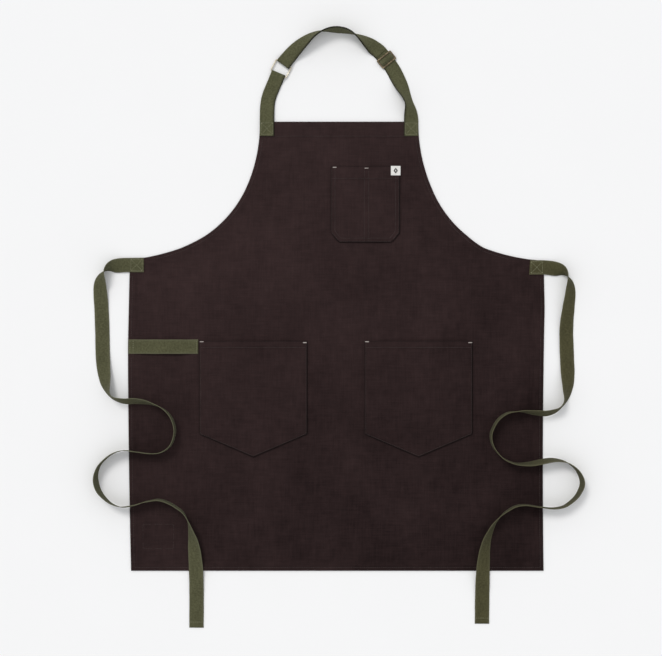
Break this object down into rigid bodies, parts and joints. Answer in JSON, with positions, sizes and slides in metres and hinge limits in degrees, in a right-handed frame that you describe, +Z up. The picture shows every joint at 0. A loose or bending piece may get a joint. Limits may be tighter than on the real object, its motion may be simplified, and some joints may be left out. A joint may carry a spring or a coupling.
{
  "type": "bib apron",
  "caption": "Canvas bib apron lying flat, with patch pockets, a towel loop, an adjustable webbing neck strap and two waist ties.",
  "frame": {"origin": "on the floor, at the middle of the panel and the neck loop", "axes": "+Z up from the floor, +Y towards the top of the bib and the neck loop, +X to the right when seen from the front"},
  "size_m": [0.8645, 1.0543, 0.028],
  "materials": {
    "canvas": "matt espresso cotton canvas, plain weave",
    "webbing": "olive cotton webbing, fine herringbone weave",
    "label_tape": "white woven damask tape",
    "label_mark": "dark woven mark",
    "dark_thread": "dark brown polyester thread",
    "olive_thread": "olive polyester thread",
    "pale_thread": "pale grey-beige polyester thread",
    "ring_metal": "pale gold plated wire, satin",
    "slider_metal": "antique brass plate, satin"
  },
  "bodies": {
    "skirt": {"skirt_panel": "canvas", "left_pocket": "canvas", "right_pocket": "canvas", "towel_loop": "webbing", "care_label": "label_tape", "left_tie_end": "webbing", "right_tie_end": "webbing", "skirt_hem_stitching": "dark_thread", "left_pocket_stitching": "dark_thread", "right_pocket_stitching": "dark_thread", "left_pocket_bartacks": "pale_thread", "right_pocket_bartacks": "pale_thread", "care_label_stitching": "dark_thread", "towel_loop_stitching": "olive_thread", "tie_end_stitching": "olive_thread"},
    "bib": {"bib_panel": "canvas", "chest_pocket": "canvas", "woven_label": "label_tape", "woven_label_mark": "label_mark", "left_neck_strap_end": "webbing", "right_neck_strap_end": "webbing", "bib_hem_stitching": "dark_thread", "chest_pocket_stitching": "dark_thread", "chest_pocket_bartacks": "pale_thread", "neck_strap_stitching": "olive_thread"},
    "neck_loop": {"anchor_strap": "webbing", "neck_strap": "webbing"},
    "ring": {"square_ring": "ring_metal"},
    "slider": {"adjuster_slider": "slider_metal", "slider_web_band": "webbing"},
    "left_tie": {"left_waist_tie": "webbing"},
    "right_tie": {"right_waist_tie": "webbing"}
  },
  "joints": [
    {"name": "bib_fold", "type": "hinge", "parent": "skirt", "child": "bib", "pos_m": [0, 0.0935, 0.0022], "axis": [1, 0, 0], "range_deg": [0, 120]},
    {"name": "neck_loop_fold", "type": "hinge", "parent": "bib", "child": "neck_loop", "pos_m": [0, 0.31715, 0.0045], "axis": [1, 0, 0], "range_deg": [0, 80]},
    {"name": "ring_rock", "type": "hinge", "parent": "neck_loop", "child": "ring", "pos_m": [-0.10402, 0.40035, 0.0029], "axis": [0.8829, -0.4695, 0], "range_deg": [0, 4]},
    {"name": "slider_travel", "type": "slide", "parent": "neck_loop", "child": "slider", "axis": [0.6198, -0.7848, 0], "range_m": [-0.003, 0.015]},
    {"name": "left_tie_lift", "type": "hinge", "parent": "skirt", "child": "left_tie", "pos_m": [-0.40762, 0.0543, 0.0258], "axis": [-1, 0, 0], "range_deg": [0, 110]},
    {"name": "right_tie_lift", "type": "hinge", "parent": "skirt", "child": "right_tie", "pos_m": [0.40301, 0.0465, 0.0258], "axis": [-1, 0, 0], "range_deg": [0, 110]}
  ]
}
